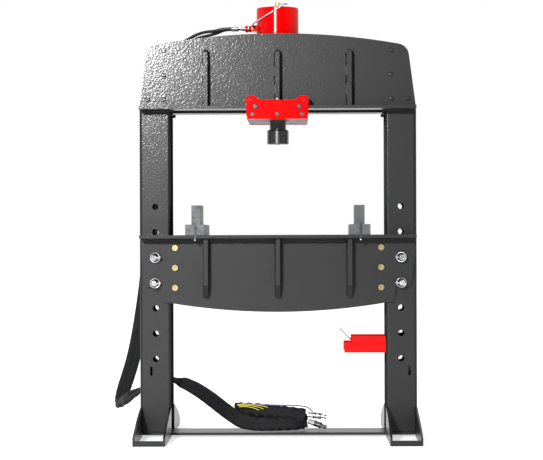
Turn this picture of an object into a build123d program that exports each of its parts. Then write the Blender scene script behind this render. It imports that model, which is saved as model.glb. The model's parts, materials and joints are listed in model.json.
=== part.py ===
"""Hydraulic shop press with a cylinder that travels sideways under its top beam.

Millimetres. X runs to the right, Y to the rear and Z up. The origin is on the floor, in the
middle between the feet. The front and the rear of the frame are mirror images.
"""
from build123d import *
from math import pi, radians, sqrt, tan
import os

os.makedirs("parts", exist_ok=True)

# Columns: two channels, with a row of pin holes for the height of the table.
COLUMN_X = 590.0
COLUMN_WIDTH = 150.0
COLUMN_DEPTH = 210.0
COLUMN_WALL = 8.0
COLUMN_CORNER = 14.0
PIN_PITCH = 122.0
PIN_FIRST_Z = 373.0
PIN_HOLES = 7
PIN_HOLE_R = 15.0
TABLE_PIN_ROWS = (3, 4)
SLOT_SIZE = (12.0, 45.0)
SLOT_OFFSETS = (21.0, 38.0)
SLOT_Z = 315.0

# Upper beam: a front and a rear plate, each with a flange and ribs.
PLATE = 20.0
BEAM_BOTTOM_Z = 1567.0
BEAM_SHOULDER = 307.0
BEAM_CROWN = 367.0
BEAM_LEAN = 40.0
BEAM_CORNER = 60.0
FLANGE = 15.0
BEAM_FLANGE_DEPTH = 100.0
RIB_X = (-343.0, 0.0, 343.0)
RIB = 20.0
BEAM_RIB_DEPTH = 70.0
BEAM_RIB_HEIGHT = 270.0
BEAM_BOLT_OFFSETS = ((-45.0, 285.0), (-45.0, 168.0), (-45.0, 52.0), (32.0, 52.0))
BEAM_BOLT_R = 6.0

# Table: two shaped plates outside the columns, held up by four pins.
TABLE_ABOVE_PIN = 107.0
TABLE_EAR = 106.0
TABLE_EAR_BOTTOM = 250.0
TABLE_BELLY = 326.0
TABLE_LOW = 369.0
TABLE_STRIP_DEPTH = 115.0
TABLE_RIB_DEPTH = 78.0
TABLE_RIB_LENGTH = 285.0
NOTCH_X = (222.0, 295.0)
NOTCH = (16.0, 12.0)
TABLE_BOLT_DEPTHS = (61.0, 156.5, 252.0)
TABLE_BOLT_R = 10.0
SPACER_R = 18.0

# Feet and the plate that joins them.
FOOT_HALF_LENGTH = 540.0
FOOT_PLATE = 10.0
FOOT_AT_COLUMN = 140.0
FOOT_AT_MIDDLE = 98.0
FOOT_AT_END = 38.0
FOOT_BAR = (12.0, 25.0)
BASE_PLATE_Z = (8.0, 20.0)

# Support pins with their lynch pins.
PIN_R = 14.0
PIN_FRONT = 48.0
PIN_REAR = 26.0
PEG_R = 4.0
PEG_SETBACK = 14.0
PEG_HEAD = 13.0
RING_R = 22.0
RING_WIRE_R = 2.4

# Press blocks that stand on the table.
BLOCK_X = 392.0
BLOCK_WIDTH = 94.0
BLOCK_HEIGHT = 50.0
BAR_SIZE = (46.0, 235.0, 93.0)
LOCATOR = (11.0, 8.0)
LOCATOR_DROP = 26.0
LOCATOR_RISE = 58.0
LOCATOR_SCREW = 35.0
SCREW_R = 4.0

# Carriage: it hangs on rollers from the beam's flanges and carries the cylinder.
CARRIAGE_HALF = 147.0
CARRIAGE_PLATE = 12.0
CARRIAGE_SIDE_GAP = 10.0
CARRIAGE_BELOW = 51.0
CARRIAGE_ABOVE = 40.0
CARRIAGE_EAR = 60.0
ROLLER_X = 126.5
ROLLER_R = 24.0
ROLLER_WIDTH = 24.0
ROLLER_GAP = 0.3
AXLE_R = 8.0
LOCK_X = 104.0
LOCK_R = 8.0
MOUNT_PLATE = 40.0
MOUNT_PLATE_GAP = 9.0
PLATE_SCREW_X = 118.0
PLATE_SCREW_Z = 21.0

# Cylinder.
BARREL_GAP = 3.0
BARREL_WALL = 17.0
BARREL_ABOVE_CROWN = 133.0
CAP = 25.0
RAM_R = 40.0
RAM_CLEAR = 0.4
GLAND_WALL = 22.0
PISTON = 60.0
TOE_R = 52.5
TOE_HEIGHT = 70.0
TOE_BELOW_PLATE = 41.0
TOOL_BORE_R = 15.0
TOOL_BORE_DEPTH = 35.0
PORT_DEPTH = 98.5
PORT_Y = 18.0
PIPE_R = 3.5

# Hoses, the sleeve that gathers them and the cable on its folded end.
HOSE_R = 7.5
SLEEVE_R = 15.0
CABLE_R = 3.0
ARC_SHARE = 0.45

GAP = 0.25

# Places that follow from the sizes above.
COLUMN_IN = COLUMN_X - COLUMN_WIDTH / 2
COLUMN_OUT = COLUMN_X + COLUMN_WIDTH / 2
FACE_Y = COLUMN_DEPTH / 2
PLATE_Y = FACE_Y + PLATE
BASE_TOP_Z = BASE_PLATE_Z[1]
PIN_ROWS = [PIN_FIRST_Z + PIN_PITCH * k for k in range(PIN_HOLES)]
TABLE_PINS = [PIN_ROWS[row] for row in TABLE_PIN_ROWS]
TABLE_TOP_Z = TABLE_PINS[-1] + TABLE_ABOVE_PIN
STRIP_Y = PLATE_Y + TABLE_STRIP_DEPTH
STRIP_HALF = COLUMN_OUT - 8
TABLE_BOLT_X = COLUMN_IN - SPACER_R - 4
BEAM_HALF = COLUMN_OUT - 1
BEAM_CROWN_Z = BEAM_BOTTOM_Z + BEAM_CROWN
FLANGE_TOP_Z = BEAM_BOTTOM_Z + FLANGE
FLANGE_HALF = COLUMN_OUT - 6
FLANGE_Y = PLATE_Y + BEAM_FLANGE_DEPTH
BEAM_BOLTS = [(COLUMN_X + x, BEAM_BOTTOM_Z + z) for x, z in BEAM_BOLT_OFFSETS]
BLOCK_HALF_Y = STRIP_Y - NOTCH[1]
BLOCK_TOP_Z = TABLE_TOP_Z + BLOCK_HEIGHT
LOCATOR_SCREW_Z = TABLE_TOP_Z + LOCATOR_SCREW
CARRIAGE_INNER_Y = FLANGE_Y + CARRIAGE_SIDE_GAP
CARRIAGE_OUTER_Y = CARRIAGE_INNER_Y + CARRIAGE_PLATE
ROLLER_Z = FLANGE_TOP_Z + ROLLER_R + ROLLER_GAP
ROLLER_Y = -CARRIAGE_INNER_Y + 6
LOCK_Z = BEAM_BOTTOM_Z + FLANGE / 2
MOUNT_TOP_Z = BEAM_BOTTOM_Z - MOUNT_PLATE_GAP
MOUNT_LOW_Z = MOUNT_TOP_Z - MOUNT_PLATE
PLATE_SCREWS = [(x, MOUNT_LOW_Z + PLATE_SCREW_Z) for x in (-PLATE_SCREW_X, 0, PLATE_SCREW_X)]
BARREL_R = FACE_Y - BARREL_GAP
BARREL_BORE_R = BARREL_R - BARREL_WALL
BARREL_TOP_Z = BEAM_CROWN_Z + BARREL_ABOVE_CROWN
GLAND_R = RAM_R + GLAND_WALL
PISTON_LOW_Z = BARREL_TOP_Z - CAP - 5 - PISTON
TOE_TOP_Z = MOUNT_LOW_Z - TOE_BELOW_PLATE
TOE_LOW_Z = TOE_TOP_Z - TOE_HEIGHT
PORT_Z = BARREL_TOP_Z - PORT_DEPTH


def span(x, y, z):
    """A block between two limits on each axis."""
    size = [limits[1] - limits[0] for limits in (x, y, z)]
    return Pos(*(sum(limits) / 2 for limits in (x, y, z))) * Box(*size)


def rod(radius, start, direction, length):
    """A round bar from a point, along a direction."""
    place = Plane(origin=start, z_dir=direction)
    return place * Cylinder(radius, length, align=(Align.CENTER, Align.CENTER, Align.MIN))


def hexagon(across, start, direction, length):
    """A hexagonal bar from a point, along a direction."""
    return extrude(Plane(origin=start, z_dir=direction) * RegularPolygon(across / sqrt(3), 6), length)


def front_slab(outline, y):
    """An outline in X and Z, made thick between two places on Y."""
    return extrude(Plane.XZ.offset(-y[1]) * outline, y[1] - y[0])


def side_slab(outline, x):
    """An outline in Y and Z, made thick between two places on X."""
    return extrude(Plane.YZ.offset(x[0]) * outline, x[1] - x[0])


def rear_copy(shape):
    return mirror(shape, about=Plane.XZ)


def right_copy(shape):
    return mirror(shape, about=Plane.YZ)


def four(shape):
    """A piece at the front left, with its copies at the right and at the rear."""
    pair = [shape, right_copy(shape)]
    return pair + [rear_copy(piece) for piece in pair]


written = []


def save(name, shapes):
    """Writes one node: a single solid or a group of separate ones."""
    solids = []
    for shape in shapes if isinstance(shapes, (list, tuple)) else [shapes]:
        solids += shape.solids()
    whole = solids[0] if len(solids) == 1 else Compound(children=solids)
    export_step(whole, f"parts/{name}.step")
    written.append(name)
    return whole


# ---------------------------------------------------------------- frame
def beam_outline(shrink=0.0):
    """The beam plate from the front: flat below, leaning sides and a crowned top."""
    foot = (BEAM_HALF - shrink, BEAM_BOTTOM_Z)
    shoulder = (BEAM_HALF - BEAM_LEAN - shrink, BEAM_BOTTOM_Z + BEAM_SHOULDER - shrink)
    crown = (0, BEAM_CROWN_Z - shrink)
    mirrored = [(-x, z) for x, z in (foot, shoulder)]
    sides = Polyline(mirrored[1], mirrored[0], foot, shoulder)
    edges = sides + ThreePointArc(shoulder, crown, mirrored[1])
    face = make_face(edges)
    corners = face.vertices().sort_by(Axis.Y)[-2:]
    return fillet(corners, BEAM_CORNER - shrink)


def column_tube(inset, bottom):
    """The column's outside, or its hollow when inset by the wall, closed at the top inside the beam."""
    radius = COLUMN_CORNER - inset
    section = RectangleRounded(COLUMN_WIDTH - 2 * inset, COLUMN_DEPTH - 2 * inset, radius)
    tube = Pos(COLUMN_X, 0, bottom) * extrude(section, BEAM_CROWN_Z - bottom)
    top = front_slab(beam_outline(3 + inset), (-COLUMN_DEPTH, COLUMN_DEPTH))
    below = span((0, COLUMN_OUT), (-COLUMN_DEPTH, COLUMN_DEPTH), (0, BEAM_BOTTOM_Z))
    return tube & (top + below)


def column(side):
    """A channel that is open towards the middle below the beam, and a closed box inside it."""
    tube = column_tube(0, BASE_TOP_Z) - column_tube(COLUMN_WALL, BASE_TOP_Z - 1)
    mouth = (COLUMN_IN - 1, COLUMN_IN + COLUMN_CORNER + 1)
    lip = FACE_Y - COLUMN_WALL
    tube -= span(mouth, (-lip, lip), (BASE_TOP_Z - 1, BEAM_BOTTOM_Z))
    for z in PIN_ROWS:
        tube -= rod(PIN_HOLE_R, (COLUMN_X, -FACE_Y - 1, z), (0, 1, 0), COLUMN_DEPTH + 2)
    for x, z in BEAM_BOLTS:
        tube -= rod(BEAM_BOLT_R + GAP, (x, -FACE_Y - 1, z), (0, 1, 0), COLUMN_DEPTH + 2)
    width, height = SLOT_SIZE
    outline = RectangleRounded(width, height, width / 2 - 0.1)
    slot = front_slab(outline, (-FACE_Y - 1, -FACE_Y + COLUMN_WALL + 1))
    tube -= Pos(COLUMN_X + SLOT_OFFSETS[side > 0], 0, SLOT_Z) * slot
    return tube if side > 0 else right_copy(tube)


def beam_plate():
    plate = front_slab(beam_outline(), (-PLATE_Y, -FACE_Y))
    for x, z in BEAM_BOLTS:
        for side in (-1, 1):
            plate -= rod(BEAM_BOLT_R + GAP, (side * x, -PLATE_Y - 1, z), (0, 1, 0), PLATE + 2)
    return plate


def beam_flange():
    y = (-FLANGE_Y, -PLATE_Y)
    return span((-FLANGE_HALF, FLANGE_HALF), y, (BEAM_BOTTOM_Z, FLANGE_TOP_Z))


def beam_rib(x):
    y = (-PLATE_Y - BEAM_RIB_DEPTH, -PLATE_Y)
    rib = span((x - RIB / 2, x + RIB / 2), y, (FLANGE_TOP_Z, FLANGE_TOP_Z + BEAM_RIB_HEIGHT))
    outer = rib.edges().filter_by(Axis.X).sort_by(Axis.Z)[-2:].sort_by(Axis.Y)[0]
    return chamfer(outer, 14)


def beam_bolt(x, z):
    """A dome-headed bolt through the beam plate and the column's wall."""
    head = rod(11, (x, -PLATE_Y, z), (0, -1, 0), 7)
    head = fillet(head.edges().sort_by(Axis.Y)[0], 4)
    washer = rod(13, (x, -PLATE_Y, z), (0, -1, 0), 2)
    return head + washer + rod(BEAM_BOLT_R, (x, -PLATE_Y, z), (0, 1, 0), PLATE + COLUMN_WALL + 12)


def beam_nut(x, z):
    start = (x, -FACE_Y + COLUMN_WALL, z)
    nut = hexagon(18, start, (0, 1, 0), 9)
    return nut - rod(BEAM_BOLT_R, start, (0, 1, 0), 9)


def table_outline():
    """The table plate from the front: ears at the columns and a belly between them."""
    half = [
        (COLUMN_OUT - 10, -FLANGE),
        (COLUMN_OUT - 10, -TABLE_EAR),
        (COLUMN_OUT - 28, 10 - TABLE_EAR_BOTTOM),
        (COLUMN_OUT - 37, -TABLE_EAR_BOTTOM),
        (COLUMN_X - 25, -TABLE_EAR_BOTTOM),
        (COLUMN_X - 40, 3 - TABLE_BELLY),
        (COLUMN_IN - 2, -TABLE_BELLY),
    ]
    left = [(-x, z) for x, z in half]
    edges = Polyline(*left, close=False) + Line(left[0], half[0]) + Polyline(*half)
    edges += ThreePointArc(half[-1], (0, -TABLE_LOW), left[-1])
    return Pos(0, TABLE_TOP_Z) * make_face(edges)


def table_bolt_rows():
    return [(side, TABLE_TOP_Z - depth) for side in (-1, 1) for depth in TABLE_BOLT_DEPTHS]


def table_plate():
    plate = front_slab(table_outline(), (-PLATE_Y, -FACE_Y))
    for x in (-COLUMN_X, COLUMN_X):
        for z in TABLE_PINS:
            plate -= rod(PIN_HOLE_R, (x, -PLATE_Y - 1, z), (0, 1, 0), PLATE + 2)
    for side, z in table_bolt_rows():
        plate -= rod(TABLE_BOLT_R + GAP, (side * TABLE_BOLT_X, -PLATE_Y - 1, z), (0, 1, 0), PLATE + 2)
    return plate


def table_strip():
    """The strip along the table's top edge, with notches that keep the press blocks in place."""
    z = (TABLE_TOP_Z - FLANGE, TABLE_TOP_Z)
    strip = span((-STRIP_HALF, STRIP_HALF), (-STRIP_Y, -FACE_Y), z)
    width, depth = NOTCH
    for x in (*NOTCH_X, BLOCK_X):
        for at in (-x, x):
            notch_x = (at - width / 2, at + width / 2)
            strip -= span(notch_x, (-STRIP_Y - 1, -STRIP_Y + depth), (z[0] - 1, z[1] + 1))
    return strip


def table_rib(x):
    top = TABLE_TOP_Z - FLANGE
    low = top - TABLE_RIB_LENGTH
    outer = -PLATE_Y - TABLE_RIB_DEPTH
    points = [(-PLATE_Y, top), (outer, top), (outer, low + 60), (-PLATE_Y - 22, low), (-PLATE_Y, low)]
    outline = Polyline(*points, close=True)
    return side_slab(make_face(outline), (x - RIB / 2, x + RIB / 2))


def table_spacer(side, z):
    """A tube that keeps the two table plates apart."""
    start = (side * TABLE_BOLT_X, -FACE_Y, z)
    tube = rod(SPACER_R, start, (0, 1, 0), COLUMN_DEPTH)
    return tube - rod(TABLE_BOLT_R + 1, start, (0, 1, 0), COLUMN_DEPTH)


def table_bolt(side, z):
    """A long plated bolt through both table plates and the spacer."""
    x = side * TABLE_BOLT_X
    head = rod(15.5, (x, -PLATE_Y, z), (0, -1, 0), 15)
    head = chamfer(head.edges().filter_by(GeomType.CIRCLE).sort_by(Axis.Y)[0], 1.5)
    head -= hexagon(12, (x, -PLATE_Y - 8, z), (0, -1, 0), 8)
    return head + rod(TABLE_BOLT_R, (x, -PLATE_Y, z), (0, 1, 0), 2 * PLATE_Y + 24)


def table_nut(side, z):
    start = (side * TABLE_BOLT_X, PLATE_Y, z)
    nut = hexagon(30, start, (0, 1, 0), 16) + rod(19, start, (0, 1, 0), 3)
    return nut - rod(TABLE_BOLT_R, start, (0, 1, 0), 16)


def foot_plate(x):
    """One arched foot plate, in front of the column."""
    inner = (-FACE_Y, FOOT_AT_COLUMN)
    middle = (-(FACE_Y + FOOT_HALF_LENGTH) / 2, FOOT_AT_MIDDLE)
    end = (-FOOT_HALF_LENGTH, FOOT_AT_END)
    edges = Polyline(end, (-FOOT_HALF_LENGTH, 0), (-FACE_Y, 0), inner) + ThreePointArc(inner, middle, end)
    return side_slab(make_face(edges), (x, x + FOOT_PLATE))


FOOT_X = (COLUMN_IN, COLUMN_OUT - FOOT_PLATE)


def foot_bar():
    thick, height = FOOT_BAR
    y = (-FOOT_HALF_LENGTH, -FOOT_HALF_LENGTH + thick)
    return span((FOOT_X[0] + FOOT_PLATE, FOOT_X[1]), y, (0, height))


def build_frame():
    save("column_left", column(-1))
    save("column_right", column(1))
    plate, flange = beam_plate(), beam_flange()
    save("beam_front_plate", plate)
    save("beam_rear_plate", rear_copy(plate))
    save("beam_flanges", [flange, rear_copy(flange)])
    ribs = [beam_rib(x) for x in RIB_X]
    save("beam_ribs", ribs + [rear_copy(rib) for rib in ribs])
    bolts = [part(x, z) for x, z in BEAM_BOLTS for part in (beam_bolt, beam_nut)]
    save("beam_bolts", [piece for bolt in bolts for piece in four(bolt)])

    plate, strip = table_plate(), table_strip()
    save("table_front_plate", plate)
    save("table_rear_plate", rear_copy(plate))
    save("table_top_strips", [strip, rear_copy(strip)])
    ribs = [table_rib(x) for x in RIB_X]
    save("table_ribs", ribs + [rear_copy(rib) for rib in ribs])
    rows = table_bolt_rows()
    save("table_spacers", [table_spacer(*row) for row in rows])
    save("table_bolts", [part(*row) for row in rows for part in (table_bolt, table_nut)])

    save("foot_plates", [piece for x in FOOT_X for piece in four(foot_plate(x))])
    save("foot_bars", four(foot_bar()))
    save("base_cross_plate", span((-COLUMN_OUT, COLUMN_OUT), (-FACE_Y, FACE_Y), BASE_PLATE_Z))


# ---------------------------------------------------------------- accessory shelf and hose hook
SHEET = 3.0
SHELF_X = (COLUMN_IN - 199, COLUMN_IN)
SHELF_Z = (402.0, 480.0)
SHELF_STEP = (COLUMN_IN - 163, 450.0)
SHELF_FLOOR_Z = 457.0
SHELF_FLAP = 80.0
TAB_TOP_Z = 488.0
TAB_SCREWS = ((COLUMN_X - 45, 440.0), (COLUMN_X + 35, 440.0))
HOOK_Z = 226.0
HOOK_R = 6.0
HOOK_REACH = 95.0
HOOK_UP = 40.0
HOOK_BEND = 14.0


def shelf():
    """A bent sheet: two cheeks with a floor between them, whose free end turns up."""
    (x0, x1), (z0, z1), (step_x, step_z) = SHELF_X, SHELF_Z, SHELF_STEP
    step = [(step_x, z1), (step_x, step_z), (x0, step_z)]
    cheek = make_face(Polyline((x0, z0), (x1, z0), (x1, z1), *step, close=True))
    front = front_slab(cheek, (-FACE_Y, -FACE_Y + SHEET))
    far_x, near_x = COLUMN_OUT - 20, x1 + 8
    tab = [(x0, z0), (far_x, z0), (far_x, TAB_TOP_Z), (near_x, TAB_TOP_Z), (near_x, z1)]
    rear = front_slab(make_face(Polyline(*tab, *step, close=True)), (FACE_Y, FACE_Y + SHEET))
    rise, thin = SHELF_FLAP / sqrt(2), SHEET / sqrt(2)
    bend_x, top_z = step_x + 1, SHELF_FLOOR_Z + SHEET
    flap = [(bend_x, top_z), (bend_x - rise, top_z + rise), (bend_x - rise - thin, top_z + rise - thin)]
    corners = [(x1, SHELF_FLOOR_Z), (x1, top_z), *flap, (step_x, SHELF_FLOOR_Z)]
    floor = make_face(Polyline(*corners, close=True))
    whole = front + rear + front_slab(floor, (-FACE_Y, FACE_Y + SHEET))
    for x, z in TAB_SCREWS:
        whole -= rod(4 + GAP, (x, FACE_Y - 1, z), (0, 1, 0), SHEET + 2)
    return whole


def shelf_screw(x, z):
    head = rod(8, (x, FACE_Y + SHEET, z), (0, 1, 0), 5)
    head = fillet(head.edges().sort_by(Axis.Y)[-1], 3)
    return head + rod(4, (x, FACE_Y, z), (0, 1, 0), SHEET)


def hose_hook():
    """A bent bar on the left column's rear face, under the hump of the sleeve."""
    x = -COLUMN_X
    reach = FACE_Y + HOOK_REACH
    corners = [(x, FACE_Y, HOOK_Z), (x, reach, HOOK_Z), (x, reach, HOOK_Z + HOOK_UP)]
    path = FilletPolyline(*corners, radius=HOOK_BEND)
    bar = sweep(Plane(origin=(x, FACE_Y, HOOK_Z), z_dir=(0, 1, 0)) * Circle(HOOK_R), path)
    return bar + rod(14, (x, FACE_Y, HOOK_Z), (0, 1, 0), 5)


def build_fittings():
    save("accessory_shelf", shelf())
    save("shelf_screws", [shelf_screw(x, z) for x, z in TAB_SCREWS])
    save("hose_hook", hose_hook())


# ---------------------------------------------------------------- support pins
PEG_Y = -PLATE_Y - PIN_FRONT + PEG_SETBACK
HEAD_OFFSET = RING_R + 2
PIN_NAMES = {
    "upper_left": (-1, TABLE_PINS[1], -8.0),
    "lower_left": (-1, TABLE_PINS[0], 6.0),
    "upper_right": (1, TABLE_PINS[1], 9.0),
    "lower_right": (1, TABLE_PINS[0], -4.0),
}


def support_pin(side, z):
    """A turned pin through the table's ears and the column, drilled for its lynch pin."""
    x = side * COLUMN_X
    pin = rod(PIN_R, (x, -PLATE_Y - PIN_FRONT, z), (0, 1, 0), PIN_FRONT + 2 * PLATE_Y + PIN_REAR)
    ends = [pin.edges().sort_by(Axis.Y)[0], pin.edges().sort_by(Axis.Y)[-1]]
    pin = chamfer(ends, 3)
    return pin - rod(PEG_R + GAP, (x - 2 * PIN_R, PEG_Y, z), (1, 0, 0), 4 * PIN_R)



def lynch_peg(side, z):
    """The lynch pin's peg and the head that its ring turns in, on the side of the machine's middle."""
    inward = -side
    head_x = side * COLUMN_X + inward * HEAD_OFFSET
    reach = HEAD_OFFSET + PIN_R + 2.5
    head = Pos(head_x, PEG_Y, z) * Box(PEG_HEAD, PEG_HEAD, PEG_HEAD)
    head = fillet(head.edges().filter_by(Axis.Z), 4)
    head -= rod(RING_WIRE_R + 1.3, (head_x, PEG_Y, z - PEG_HEAD), (0, 0, 1), 2 * PEG_HEAD)
    start = (head_x - inward * (PEG_HEAD / 2 - 0.5), PEG_Y, z)
    peg = rod(PEG_R, start, (-inward, 0, 0), reach - PEG_HEAD / 2 - 1)
    tip = peg.edges().filter_by(GeomType.CIRCLE).sort_by(Axis.X)
    peg = fillet(tip[-1] if inward < 0 else tip[0], 2)
    return head + peg


def lynch_ring(side, z, tilt):
    """The sprung ring, closed round the support pin."""
    inward = -side
    head_x = side * COLUMN_X + inward * HEAD_OFFSET
    ring = Plane.XZ * Torus(RING_R, RING_WIRE_R)
    ring = Pos(-inward * RING_R, 0, 0) * ring
    return Pos(head_x, PEG_Y, z) * (Rot(0, 0, tilt * inward) * ring)


def build_pins():
    for name, (side, z, tilt) in PIN_NAMES.items():
        save(f"support_pin_{name}", [support_pin(side, z), lynch_peg(side, z)])
        save(f"lynch_ring_{name}", lynch_ring(side, z, tilt))


# ---------------------------------------------------------------- press blocks
def press_block(side):
    """A base bar across the table, tapped at both ends for its locators."""
    x = (side * BLOCK_X - BLOCK_WIDTH / 2, side * BLOCK_X + BLOCK_WIDTH / 2)
    base = span(x, (-BLOCK_HALF_Y, BLOCK_HALF_Y), (TABLE_TOP_Z, BLOCK_TOP_Z))
    base = chamfer(base.edges().filter_by(Axis.Z), 1.5)
    for end in (-1, 1):
        base -= rod(SCREW_R + GAP, (side * BLOCK_X, end * BLOCK_HALF_Y, LOCATOR_SCREW_Z), (0, -end, 0), 22)
    return base


def press_bar(side):
    """The narrower bar on the block's middle, that takes the load."""
    width, depth, height = BAR_SIZE
    x = side * BLOCK_X
    bar = span((x - width / 2, x + width / 2), (-depth / 2, depth / 2), (BLOCK_TOP_Z, BLOCK_TOP_Z + height))
    return chamfer(bar.edges().filter_by(Axis.Z), 1.5)


def locator(side):
    """A flat bar on the block's end that drops into a notch of the table's strip."""
    width, thick = LOCATOR
    x = side * BLOCK_X
    y = (-BLOCK_HALF_Y - thick, -BLOCK_HALF_Y)
    bar = span((x - width / 2, x + width / 2), y, (TABLE_TOP_Z - LOCATOR_DROP, TABLE_TOP_Z + LOCATOR_RISE))
    bar = fillet(bar.edges().filter_by(Axis.Y), 3)
    return bar - rod(SCREW_R + GAP, (x, y[0] - 1, LOCATOR_SCREW_Z), (0, 1, 0), thick + 2)


def locator_screw(side):
    """The screw that holds the locator on the block's end."""
    start = (side * BLOCK_X, -BLOCK_HALF_Y - LOCATOR[1], LOCATOR_SCREW_Z)
    head = rod(6.5, start, (0, -1, 0), 5)
    head = fillet(head.edges().sort_by(Axis.Y)[0], 2.5)
    return head + rod(SCREW_R, start, (0, 1, 0), 28)


def build_blocks():
    for side, name in ((-1, "left"), (1, "right")):
        save(f"press_block_{name}", press_block(side))
        save(f"press_bar_{name}", press_bar(side))
        ends = [locator(side), locator_screw(side)]
        save(f"block_locators_{name}", ends + [rear_copy(piece) for piece in ends])


# ---------------------------------------------------------------- carriage
def carriage_outline():
    low = BEAM_BOTTOM_Z - CARRIAGE_BELOW
    high = BEAM_BOTTOM_Z + CARRIAGE_ABOVE
    top = BEAM_BOTTOM_Z + CARRIAGE_EAR
    half, ear = CARRIAGE_HALF, ROLLER_X - 20
    right = [(half - 6, low), (half, low + 22), (half, top), (ear, top), (ear - 22, high)]
    left = [(-x, z) for x, z in right[::-1]]
    face = make_face(Polyline(*right, *left, close=True))
    tops = face.vertices().sort_by(Axis.Y)[-4:]
    return fillet(tops, 14)


def carriage_plate():
    plate = front_slab(carriage_outline(), (-CARRIAGE_OUTER_Y, -CARRIAGE_INNER_Y))
    holes = [(x, z, SCREW_R + GAP) for x, z in PLATE_SCREWS]
    holes += [(side * ROLLER_X, ROLLER_Z, AXLE_R + GAP) for side in (-1, 1)]
    holes += [(side * LOCK_X, LOCK_Z, LOCK_R + GAP) for side in (-1, 1)]
    for x, z, radius in holes:
        plate -= rod(radius, (x, -CARRIAGE_OUTER_Y - 1, z), (0, 1, 0), CARRIAGE_PLATE + 2)
    return plate


def roller(x):
    """A steel wheel that runs on the beam's flange, bored for its axle."""
    wheel = rod(ROLLER_R, (x, ROLLER_Y, ROLLER_Z), (0, 1, 0), ROLLER_WIDTH)
    wheel = chamfer(wheel.edges().filter_by(GeomType.CIRCLE), 1.5)
    return wheel - rod(AXLE_R + GAP, (x, ROLLER_Y - 1, ROLLER_Z), (0, 1, 0), ROLLER_WIDTH + 2)


def axle(x):
    """A shouldered screw in the carriage plate's ear that a roller turns on."""
    head = rod(12, (x, -CARRIAGE_OUTER_Y, ROLLER_Z), (0, -1, 0), 5)
    head = fillet(head.edges().sort_by(Axis.Y)[0], 2)
    head -= hexagon(9, (x, -CARRIAGE_OUTER_Y - 3, ROLLER_Z), (0, -1, 0), 4)
    shaft = rod(AXLE_R, (x, -CARRIAGE_OUTER_Y, ROLLER_Z), (0, 1, 0), CARRIAGE_PLATE + 8 + ROLLER_WIDTH)
    collar = rod(12, (x, -CARRIAGE_INNER_Y, ROLLER_Z), (0, 1, 0), 5)
    keeper = rod(12, (x, ROLLER_Y + ROLLER_WIDTH + 1, ROLLER_Z), (0, 1, 0), 3)
    return head + shaft + collar + keeper


def lock_screw(x):
    """A pointed screw that pinches the edge of the flange."""
    start = (x, -CARRIAGE_OUTER_Y - 4, LOCK_Z)
    head = rod(11, start, (0, -1, 0), 9)
    head = fillet(head.edges().sort_by(Axis.Y)[0], 3)
    head -= hexagon(9, (x, -CARRIAGE_OUTER_Y - 9, LOCK_Z), (0, -1, 0), 6)
    return head + rod(LOCK_R, start, (0, 1, 0), CARRIAGE_PLATE + CARRIAGE_SIDE_GAP + 3)


def plate_screw(x, z):
    head = rod(10, (x, -CARRIAGE_OUTER_Y, z), (0, -1, 0), 5)
    head = fillet(head.edges().sort_by(Axis.Y)[0], 2)
    head -= hexagon(8, (x, -CARRIAGE_OUTER_Y - 3, z), (0, -1, 0), 4)
    return head + rod(SCREW_R, (x, -CARRIAGE_OUTER_Y, z), (0, 1, 0), CARRIAGE_PLATE + 24)


def mount_plate():
    """The thick plate under the beam that the cylinder stands on."""
    half, y = CARRIAGE_HALF - 3, CARRIAGE_INNER_Y
    plate = span((-half, half), (-y, y), (MOUNT_LOW_Z, MOUNT_TOP_Z))
    plate -= rod(GLAND_R, (0, 0, MOUNT_LOW_Z - 1), (0, 0, 1), MOUNT_PLATE + 2)
    for x, z in PLATE_SCREWS:
        for side in (-1, 1):
            plate -= rod(SCREW_R + GAP, (x, side * y, z), (0, -side, 0), 25)
    return plate


def centre_marker():
    """A polished ball on the carriage's front edge that marks the ram's centre."""
    edge_z = BEAM_BOTTOM_Z + CARRIAGE_ABOVE
    y = -CARRIAGE_INNER_Y - CARRIAGE_PLATE / 2
    return Pos(0, y, edge_z + 5) * Sphere(7) - span((-9, 9), (y - 9, y + 9), (edge_z - 9, edge_z))


def build_carriage():
    plate = carriage_plate()
    save("carriage_plates", [plate, rear_copy(plate)])
    save("carriage_mount_plate", mount_plate())
    spots = {"front_left": (-1, 1), "front_right": (1, 1), "rear_left": (-1, -1), "rear_right": (1, -1)}
    for name, (side, front) in spots.items():
        wheel = roller(side * ROLLER_X)
        save(f"roller_{name}", wheel if front > 0 else rear_copy(wheel))
    save("roller_axles", four(axle(ROLLER_X)))
    locks = [lock_screw(side * LOCK_X) for side in (-1, 1)]
    save("lock_screws", locks + [rear_copy(screw) for screw in locks])
    screws = [plate_screw(x, z) for x, z in PLATE_SCREWS]
    save("carriage_screws", screws + [rear_copy(screw) for screw in screws])
    save("centre_marker", centre_marker())


# ---------------------------------------------------------------- cylinder
MANIFOLD_X = (-BARREL_R - 26.0, -BARREL_R)
BLOCK_EDGE = 17.0
COLLAR = 16.0
NUT = 12.0
NIPPLE = 34.0
FERRULE = 34.0
FERRULE_R = 9.5
FERRULE_X = MANIFOLD_X[0] - COLLAR - NUT - NIPPLE
HOSE_START_X = FERRULE_X - FERRULE + 8
TOP_PORT = (0.0, -52.0)


def barrel():
    tube = rod(BARREL_R, (0, 0, MOUNT_TOP_Z), (0, 0, 1), BARREL_TOP_Z - MOUNT_TOP_Z)
    tube = fillet(tube.edges().sort_by(Axis.Z)[-1], 5)
    tube -= rod(BARREL_BORE_R, (0, 0, MOUNT_TOP_Z - 1), (0, 0, 1), BARREL_TOP_Z - CAP - MOUNT_TOP_Z + 1)
    return tube - rod(6, (*TOP_PORT, BARREL_TOP_Z - CAP - 1), (0, 0, 1), CAP + 2)


SEAL = (6.0, 8.0)
SEAL_Z = MOUNT_LOW_Z + 12
GUIDE = 30.0


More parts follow.
